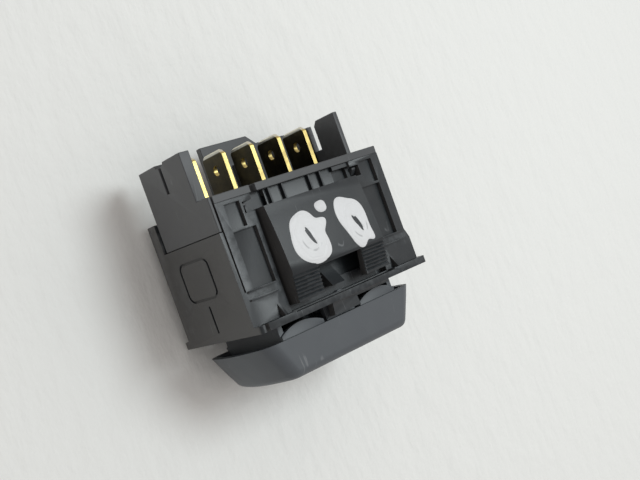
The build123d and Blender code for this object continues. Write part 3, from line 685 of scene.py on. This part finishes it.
def hair_scratches():
    """Group: a mask of sparse hair-thin scratches, bands of stretched noise cut to their narrow crests."""
    group, given, result = new_group("hair_scratches", {"Vector": None, "Amount": 0.5}, ["Mask"])
    place = given.outputs["Vector"]
    total = None
    for turn, stretch in ((0.5, 260.0), (2.1, 340.0)):
        thin = (stretch, stretch, stretch * 0.08)
        wave = noise(group, stretched(group, place, thin, (0.3, turn, 0.0)), 1.0, detail=1.0)
        crest = ramp(group, maths(group, "ABSOLUTE", maths(group, "SUBTRACT", wave, 0.5)), 0.006, 0.0)
        here = ramp(group, noise(group, place, 190.0 + 40 * turn, detail=2.0), 0.60, 0.68)
        line = maths(group, "MULTIPLY", crest, here)
        total = line if total is None else maths(group, "MAXIMUM", total, line)
    link(group, maths(group, "MULTIPLY", total, given.outputs["Amount"], clamp=True), result.inputs["Mask"])
    return group


GROUP_MAKERS = {
    "moulded_grain": moulded_grain,
    "rubbed_edges": rubbed_edges,
    "settled_dust": settled_dust,
    "hair_scratches": hair_scratches,
}


def use_group(tree, name, vector, **values):
    """A shared effect placed in a material, with its own values."""
    node = tree.nodes.new("ShaderNodeGroup")
    node.node_tree = bpy.data.node_groups.get(name) or GROUP_MAKERS[name]()
    link(tree, vector, node.inputs["Vector"])
    for key, value in values.items():
        node.inputs[key].default_value = value
    return node


def new_material(name):
    """A material with its node tree, its shader and the object coordinates."""
    material = bpy.data.materials.new(name)
    material.use_nodes = True
    tree = material.node_tree
    shader = tree.nodes["Principled BSDF"]
    place = tree.nodes.new("ShaderNodeTexCoord").outputs["Object"]
    return material, tree, shader, place


def add_bump(tree, shader, height, distance, strength=1.0):
    """Feeds a height to the shader's normal."""
    bump = tree.nodes.new("ShaderNodeBump")
    bump.inputs["Strength"].default_value = strength
    bump.inputs["Distance"].default_value = distance
    link(tree, height, bump.inputs["Height"])
    link(tree, bump.outputs["Normal"], shader.inputs["Normal"])


def dress(thing, material):
    """One material for the whole piece."""
    thing.data.materials.clear()
    thing.data.materials.append(material)


# ---------------------------------------------------------------- materials
def plastic(name, colour, end_tone_and_painted_light=None, roughness=0.40, gloss=0.5, grain=1.0, dust=1.0, wear=1.0):
    """Moulded plastic: faint flow mottle, pitted grain, dust film, hair scratches and lighter rubbed edges.

    With an end tone, faces that look along X take it: partly a duller end face, partly painted light for how
    the light falls on the ends.
    """
    looks = bpy.context.scene.plastic_looks
    material, tree, shader, place = new_material(name)
    skin = use_group(tree, "moulded_grain", place, Size=looks.grain_size, Flow=0.25, Drag=0.25)
    edges = use_group(tree, "rubbed_edges", place, Amount=looks.wear * wear)
    film = use_group(tree, "settled_dust", place, Amount=looks.dust * dust)
    lines = use_group(tree, "hair_scratches", place, Amount=looks.scratches)
    base = tuple(colour)
    # Partly painted light: faces that look along X take the lighter end tone, which is set partly for how the
    # light falls on them.
    if end_tone_and_painted_light is not None:
        base = blend_colour(tree, looks_along_x(tree, 0.80, 0.97), base, tuple(end_tone_and_painted_light))
    darker = blend_colour(tree, 1.0, base, SHADED, "MULTIPLY")
    tone = blend_colour(tree, ramp(tree, skin.outputs["Mottle"], 0.30, 0.70), darker, base)
    for mask, mark in ((film, DUST), (edges, RUBBED), (lines, SCRATCHED)):
        tone = blend_colour(tree, mask.outputs["Mask"], tone, mark)
    link(tree, tone, shader.inputs["Base Color"])
    rough = maths(tree, "ADD", roughness - 0.05, maths(tree, "MULTIPLY", skin.outputs["Mottle"], 0.06))
    rough = maths(tree, "ADD", rough, maths(tree, "MULTIPLY", film.outputs["Mask"], 0.30), clamp=True)
    link(tree, rough, shader.inputs["Roughness"])
    shader.inputs["Specular IOR Level"].default_value = gloss
    cuts = maths(tree, "MULTIPLY", lines.outputs["Mask"], 0.8)
    height = maths(tree, "SUBTRACT", skin.outputs["Height"], cuts)
    add_bump(tree, shader, height, GRAIN_DEPTH * grain)
    return material


def brass(name, painted_dark_reflection=0.0, bright=1.0):
    """Stamped brass: rolling lines, a brown film that thins towards rubbed edges, and small pits.

    With a painted dark reflection, the broad faces, which look along X, are painted near-black, as painted
    reflection and shade of the dark surroundings they mirror. The sheared edges stay clean, and the bevelled
    tips are rubbed bare.
    """
    looks = bpy.context.scene.metal_looks
    material, tree, shader, place = new_material(name)
    lines = noise(tree, stretched(tree, place, (900.0, 900.0, 9000.0)), 1.0, detail=2.0)
    film = ramp(tree, noise(tree, place, 420.0, detail=5.0, roughness=0.6), 0.40, 0.72)
    edges = use_group(tree, "rubbed_edges", place, Amount=1.0)
    share = maths(tree, "MULTIPLY", film, looks.tarnish / bright, clamp=True)
    share = maths(tree, "SUBTRACT", share, maths(tree, "MULTIPLY", edges.outputs["Mask"], 0.6), clamp=True)
    tone = blend_colour(tree, share, tuple(looks.brass_colour), tuple(looks.tarnish_colour))
    # Painted reflection and shade: faces that look along X are painted near-black, thinned a little by the
    # film noise.
    if painted_dark_reflection:
        thin = maths(tree, "SUBTRACT", 1.0, maths(tree, "MULTIPLY", film, 0.12))
        thin = maths(tree, "MULTIPLY", thin, painted_dark_reflection)
        cover = maths(tree, "MULTIPLY", looks_along_x(tree, 0.93, 0.985), thin, clamp=True)
        tone = blend_colour(tree, cover, tone, tuple(looks.painted_dark_reflection_colour))
        tip = ramp(tree, component(tree, place, "Z"), *BLADE_BARE_Z)
        tone = blend_colour(tree, maths(tree, "MULTIPLY", tip, 0.8), tone, tuple(looks.tip_colour))
    link(tree, tone, shader.inputs["Base Color"])
    shader.inputs["Metallic"].default_value = 1.0
    rough = maths(tree, "ADD", 0.30, maths(tree, "MULTIPLY", lines, 0.14))
    rough = maths(tree, "ADD", rough, maths(tree, "MULTIPLY", share, 0.20), clamp=True)
    link(tree, rough, shader.inputs["Roughness"])
    height = maths(tree, "ADD", lines, maths(tree, "MULTIPLY", film, 0.6))
    add_bump(tree, shader, height, ROLLED_DEPTH)
    return material


def bare_metal(name, colour, roughness, streaks):
    """Grey metal with fine streaks along Z and a slight patchy dullness."""
    material, tree, shader, place = new_material(name)
    lines = noise(tree, stretched(tree, place, (streaks, streaks, streaks * 0.1)), 1.0, detail=3.0)
    patches = ramp(tree, noise(tree, place, 700.0, detail=4.0), 0.4, 0.7)
    dull = blend_colour(tree, 1.0, tuple(colour), DULLED, "MULTIPLY")
    link(tree, blend_colour(tree, patches, tuple(colour), dull), shader.inputs["Base Color"])
    shader.inputs["Metallic"].default_value = 1.0
    rough = maths(tree, "ADD", roughness, maths(tree, "MULTIPLY", patches, 0.15))
    link(tree, rough, shader.inputs["Roughness"])
    add_bump(tree, shader, lines, ROLLED_DEPTH)
    return material


def paint(name, middle, half, bare=0.0):
    """Thick marking paint laid with a brush that went round: ring-shaped streaks and thin places.

    The streaks follow the distance from the middle as a share of the half axes. With bare, the brush
    has missed a narrow arc round the hole.
    """
    looks = bpy.context.scene.dab_looks
    material, tree, shader, place = new_material(name)
    lay = tree.nodes.new("ShaderNodeMapping")
    lay.vector_type = "TEXTURE"
    link(tree, place, lay.inputs["Vector"])
    lay.inputs["Location"].default_value = (middle[0], 0.0, middle[1])
    lay.inputs["Scale"].default_value = (half[0], 1.0, half[1])
    flat = tree.nodes.new("ShaderNodeVectorMath")
    flat.operation = "MULTIPLY"
    link(tree, lay.outputs["Vector"], flat.inputs[0])
    flat.inputs[1].default_value = (1.0, 0.0, 1.0)
    length = tree.nodes.new("ShaderNodeVectorMath")
    length.operation = "LENGTH"
    link(tree, flat.outputs[0], length.inputs[0])
    reach = length.outputs["Value"]
    wander = maths(tree, "MULTIPLY", noise(tree, place, 500.0, detail=2.0), 0.35)
    rings = tree.nodes.new("ShaderNodeTexNoise")
    rings.noise_dimensions = "1D"
    rings.inputs["Scale"].default_value = 14.0
    rings.inputs["Detail"].default_value = 3.0
    link(tree, maths(tree, "ADD", reach, wander), rings.inputs["W"])
    streaks = rings.outputs["Fac"]
    thin = ramp(tree, noise(tree, place, 800.0, detail=5.0, roughness=0.65), 0.60, 0.80)
    tone = blend_colour(tree, maths(tree, "MULTIPLY", thin, 0.25), tuple(looks.paint_colour), THIN_PAINT)
    tone = blend_colour(tree, maths(tree, "MULTIPLY", streaks, 0.22), tone, BRUSHED_PAINT)
    band = ramp(tree, maths(tree, "ABSOLUTE", maths(tree, "SUBTRACT", reach, 0.56)), 0.055, 0.02)
    patch = ramp(tree, noise(tree, place, 420.0, detail=3.0), 0.44, 0.56)
    above = ramp(tree, component(tree, flat.outputs[0], "Z"), 0.0, 0.2)
    missed = maths(tree, "MULTIPLY", band, maths(tree, "MULTIPLY", patch, above))
    tone = blend_colour(tree, maths(tree, "MULTIPLY", missed, bare), tone, MISSED_PAINT)
    link(tree, tone, shader.inputs["Base Color"])
    shader.inputs["Roughness"].default_value = 0.40
    add_bump(tree, shader, streaks, STREAK_DEPTH)
    return material


def tinted_lens(name):
    """Clear green-tinted plastic with a softly rough face."""
    material, tree, shader, place = new_material(name)
    cloud = noise(tree, place, 500.0, detail=3.0)
    link(tree, blend_colour(tree, cloud, *LENS_TONES), shader.inputs["Base Color"])
    shader.inputs["Roughness"].default_value = 0.22
    shader.inputs["Transmission Weight"].default_value = 0.35
    add_bump(tree, shader, noise(tree, place, 4000.0), LENS_DEPTH)
    return material


def bulb_glass(name):
    """Clear bulb glass, slightly smoked towards patches."""
    material, tree, shader, place = new_material(name)
    smoke = ramp(tree, noise(tree, place, 600.0, detail=4.0), 0.45, 0.8)
    link(tree, blend_colour(tree, smoke, *BULB_TONES), shader.inputs["Base Color"])
    shader.inputs["Roughness"].default_value = 0.05
    shader.inputs["Transmission Weight"].default_value = 0.9
    shader.inputs["IOR"].default_value = 1.45
    add_bump(tree, shader, noise(tree, place, 900.0), BULB_DEPTH)
    return material


def table_surface(name, colour):
    """Pale rolled paint: soft lumps, faint slanting roller lines and a few smudges.

    It is clear from behind, so that it hides nothing.
    """
    material, tree, shader, place = new_material(name)
    slanting = stretched(tree, place, (420.0, 1.0, 110.0), (0.0, radians(38), 0.0))
    lines = noise(tree, slanting, 1.0, detail=3.0, roughness=0.5)
    lumps = noise(tree, place, 130.0, detail=4.0, roughness=0.55)
    marks = ramp(tree, noise(tree, place, 60.0, detail=8.0, roughness=0.7), 0.66, 0.80)
    tone = blend_colour(tree, maths(tree, "MULTIPLY", marks, 0.20), tuple(colour), SMUDGE)
    link(tree, tone, shader.inputs["Base Color"])
    shader.inputs["Roughness"].default_value = 0.8
    shader.inputs["Specular IOR Level"].default_value = 0.25
    height = maths(tree, "ADD", maths(tree, "MULTIPLY", lines, 0.5), lumps)
    add_bump(tree, shader, height, TABLE_DEPTH, strength=0.5)
    clear = tree.nodes.new("ShaderNodeBsdfTransparent")
    chooser = tree.nodes.new("ShaderNodeMixShader")
    link(tree, tree.nodes.new("ShaderNodeNewGeometry").outputs["Backfacing"], chooser.inputs[0])
    link(tree, shader.outputs[0], chooser.inputs[1])
    link(tree, clear.outputs[0], chooser.inputs[2])
    link(tree, chooser.outputs[0], tree.nodes["Material Output"].inputs["Surface"])
    return material


# ---------------------------------------------------------------- operators
class PieceOperator:
    """Shared options of the piece operators."""

    bl_options = {"REGISTER", "UNDO"}


class SWITCH_OT_case(PieceOperator, bpy.types.Operator):
    """Rounds the edges of the case and its terminal base and gives them their moulded plastics"""

    bl_idname = "switch.case"
    bl_label = "Case and base"

    def execute(self, context):
        looks = context.scene.plastic_looks
        case_skin = plastic("case_plastic", looks.case_colour, looks.end_tone_and_painted_light, roughness=0.36, gloss=0.38)
        dress(softened("housing", looks.edge_round, change=trimmed_case), case_skin)
        # The base's faces that look along X take painted light, a lighter tone.
        base_skin = plastic(
            "base_plastic", looks.base_colour, looks.base_end_painted_light, roughness=0.45, gloss=0.4
        )
        dress(softened("terminal_base", looks.edge_round), base_skin)
        shade = plastic("screen_plastic", looks.case_colour, roughness=0.5, dust=0.3, wear=0.2)
        sides = ((-1, "front"), (1, "rear"))
        for side, place in sides:
            y = (side * SCREEN_Y[0], side * SCREEN_Y[1])
            self.bar(f"latch_screen_{place}", "housing", shade, (-SCREEN_HALF, SCREEN_HALF), y, SCREEN_Z)
        for side, place in sides:
            lip = side * ROOT_OUT
            rib_y = (side * (ROOT_OUT - ROOT_SINK - POCKET_RIB_ROOT), lip)
            for number, middle in enumerate(POCKET_RIB_X, start=1):
                rib_x = (middle - POCKET_RIB_T / 2, middle + POCKET_RIB_T / 2)
                self.bar(f"pocket_rib_{place}_{number}", "housing", shade, rib_x, rib_y, POCKET_Z)
            bar_y = (side * WELL_Y, lip)
            self.bar(f"pocket_bar_{place}", "housing", shade, POCKET_BAR_X, bar_y, POCKET_BAR_Z)
        self.bar("shroud_post", "terminal_base", base_skin, POST_X, POST_Y, POST_Z)
        return {"FINISHED"}

    @staticmethod
    def bar(name, node, skin, x, y, z):
        """A plain bar that moves with the node's body."""
        piece = long_bar(name, x, y, z)
        dress(piece, skin)
        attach(piece, BODY_OF[node])


class SWITCH_OT_rocker(PieceOperator, bpy.types.Operator):
    """Gives the rocker its satin skin and the light window its tint"""

    bl_idname = "switch.rocker"
    bl_label = "Rocker"

    def execute(self, context):
        looks = context.scene.plastic_looks
        rocker = softened("rocker", looks.edge_round, change=trimmed_rocker)
        dress(rocker, plastic("rocker_plastic", looks.rocker_colour, roughness=0.50, grain=0.7, dust=0.4))
        dress(frame["nodes"]["rocker_lens"], tinted_lens("lens_tint"))
        return {"FINISHED"}


class SWITCH_OT_metal(PieceOperator, bpy.types.Operator):
    """Dresses blades, rails, see-saws, contacts and springs"""

    bl_idname = "switch.metal"
    bl_label = "Metal parts"

    def execute(self, context):
        looks = context.scene.metal_looks
        # The blades' broad faces carry painted dark reflection and shade.
        blade_brass = brass("blade_brass", painted_dark_reflection=0.96)
        inner_brass = brass("inner_brass", bright=1.6)
        silver = bare_metal("contact_silver", looks.silver_colour, 0.30, 6000.0)
        wire = bare_metal("spring_wire", looks.steel_colour, 0.25, 9000.0)
        by_slot = {"brass": inner_brass, "contact_silver": silver, "spring_steel": wire}
        for node, slot in SLOT_OF.items():
            if slot not in by_slot:
                continue
            if node.startswith("spring_"):
                self.springy(node, wire)
            elif node.startswith("terminal_"):
                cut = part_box(node)[0][2] + BLADE_BEVEL
                dress(softened(node, STAMPED_ROUND, change=longer_blade, cut_z=cut), blade_brass)
            else:
                dress(frame["nodes"][node], by_slot[slot])
        return {"FINISHED"}

    @staticmethod
    def springy(node, wire):
        """A merged copy of the coil, in spring wire, with a mesh of its own."""
        coil = softened(node, 0.0)
        dress(coil, wire)
        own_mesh(coil)


class SWITCH_OT_inside(PieceOperator, bpy.types.Operator):
    """Dresses the plungers and the lamp"""

    bl_idname = "switch.inside"
    bl_label = "Plungers and lamp"

    def execute(self, context):
        looks = context.scene.plastic_looks
        slippery = plastic("plunger_plastic", looks.plunger_colour, roughness=0.35, dust=0.2, wear=0.1)
        for node in ("plunger_front", "plunger_rear"):
            dress(frame["nodes"][node], slippery)
        dress(frame["nodes"]["lamp"], bulb_glass("lamp_glass"))
        return {"FINISHED"}


class SWITCH_OT_dabs(PieceOperator, bpy.types.Operator):
    """Lays two rings and a dot of white marking paint on the front latch"""

    bl_idname = "switch.dabs"
    bl_label = "Paint dabs"

    def execute(self, context):
        missed = context.scene.dab_looks.missed
        for name, outer, inner in RING_DABS:
            ring = ring_dab(name, outer, inner)
            dress(ring, paint(f"{name}_paint", inner[0], outer[1], bare=missed))
            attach(ring, BODY_OF["housing"])
        dot = dot_dab("paint_dot", DOT_DAB)
        dress(dot, paint("paint_dot_paint", DOT_DAB[0], DOT_DAB[1]))
        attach(dot, BODY_OF["housing"])
        return {"FINISHED"}


class SWITCH_OT_stage(PieceOperator, bpy.types.Operator):
    """Sets up the pale surface, the soft lights and the camera"""

    bl_idname = "switch.stage"
    bl_label = "Stage"

    def execute(self, context):
        looks = context.scene.stage_looks
        self.camera(context.scene, looks)
        self.table(looks)
        self.key_light(context.scene, looks)
        self.sky(context.scene, looks)
        context.scene.view_settings.view_transform = "Standard"
        return {"FINISHED"}

    @staticmethod
    def camera(scene, looks):
        """The camera at its place, upright towards -Z and then rolled about its line of sight."""
        place = Vector(looks.camera_place)
        look = (Vector(looks.aim) - place).normalized()
        side = look.cross(Vector((0, 0, -1))).normalized()
        upright = Matrix((side, side.cross(look), -look)).transposed()
        turned = Matrix.Rotation(looks.roll, 3, look) @ upright
        camera = bpy.data.objects.new("camera", bpy.data.cameras.new("camera"))
        camera.data.lens = looks.lens
        camera.data.sensor_width = SENSOR_WIDTH
        camera.data.clip_start = NEAREST_SEEN
        camera.matrix_world = Matrix.Translation(place) @ turned.to_4x4()
        scene.collection.objects.link(camera)
        scene.camera = camera

    @staticmethod
    def table(looks):
        """A flat sheet just behind the switch, across Y."""
        across = np.linspace(-TABLE_REACH, TABLE_REACH, 2)
        x, z = np.meshgrid(across, across, indexing="ij")
        flat = grid_mesh("table", np.stack([x, np.full_like(x, CAD_BOX[1][1] + TABLE_GAP), z], -1))
        if flat.polygons[0].normal.y > 0:
            flat.flip_normals()
        table = new_object("table", flat)
        dress(table, table_surface("table_paint", looks.table_colour))

    @staticmethod
    def key_light(scene, looks):
        """One large round soft light, aimed at the switch."""
        lamp = bpy.data.lights.new("key", "AREA")
        lamp.shape = "DISK"
        lamp.size = looks.key_size
        lamp.energy = looks.key_power
        lamp.color = KEY_COLOUR
        key = bpy.data.objects.new("key", lamp)
        toward = Vector(looks.key_from).normalized()
        key.location = toward * looks.key_far
        key.rotation_euler = toward.to_track_quat("Z", "Y").to_euler()
        scene.collection.objects.link(key)

    @staticmethod
    def sky(scene, looks):
        """Soft light from all round that falls off towards +X; the camera sees the table's colour instead."""
        world = bpy.data.worlds.new("sky")
        world.use_nodes = True
        tree = world.node_tree
        sky = tree.nodes["Background"]
        sky.inputs["Color"].default_value = (*SKY_COLOUR, 1.0)
        direction = tree.nodes.new("ShaderNodeTexCoord").outputs["Generated"]
        fall = maths(tree, "MULTIPLY", component(tree, direction, "X"), looks.sky_fall)
        fall = maths(tree, "MULTIPLY", fall, -looks.sky_strength)
        link(tree, maths(tree, "ADD", fall, looks.sky_strength), sky.inputs["Strength"])
        shown = tree.nodes.new("ShaderNodeBackground")
        shown.inputs["Color"].default_value = (*looks.table_colour, 1.0)
        path = tree.nodes.new("ShaderNodeLightPath")
        chooser = tree.nodes.new("ShaderNodeMixShader")
        link(tree, path.outputs["Is Camera Ray"], chooser.inputs[0])
        link(tree, sky.outputs[0], chooser.inputs[1])
        link(tree, shown.outputs[0], chooser.inputs[2])
        link(tree, chooser.outputs[0], tree.nodes["World Output"].inputs["Surface"])
        scene.world = world


PIECES = (
    SWITCH_OT_case,
    SWITCH_OT_rocker,
    SWITCH_OT_metal,
    SWITCH_OT_inside,
    SWITCH_OT_dabs,
    SWITCH_OT_stage,
)


class SWITCH_PT_sidebar(bpy.types.Panel):
    """Lists the pieces of the switch and their looks"""

    bl_idname = "SWITCH_PT_sidebar"
    bl_label = "Window switch"
    bl_space_type = "VIEW_3D"
    bl_region_type = "UI"
    bl_category = "Window switch"

    def draw(self, context):
        for piece in PIECES:
            self.layout.operator(piece.bl_idname)
        for group in GROUPS:
            looks = getattr(context.scene, group)
            box = self.layout.box()
            for key in looks.__annotations__:
                box.prop(looks, key)


GROUPS = {
    "plastic_looks": PlasticLooks,
    "metal_looks": MetalLooks,
    "dab_looks": DabLooks,
    "stage_looks": StageLooks,
}


def register():
    """Registers the groups, the operators and the panel."""
    for name, group in GROUPS.items():
        bpy.utils.register_class(group)
        setattr(bpy.types.Scene, name, bpy.props.PointerProperty(type=group))
    for piece in (*PIECES, SWITCH_PT_sidebar):
        bpy.utils.register_class(piece)


def unregister():
    """Takes everything that register added away again."""
    for piece in reversed((*PIECES, SWITCH_PT_sidebar)):
        bpy.utils.unregister_class(piece)
    for name, group in GROUPS.items():
        delattr(bpy.types.Scene, name)
        bpy.utils.unregister_class(group)


def main():
    """Makes every piece in order."""
    register()
    for piece in PIECES:
        category, name = piece.bl_idname.split(".")
        getattr(getattr(bpy.ops, category), name)()


if __name__ == "__main__":
    main()
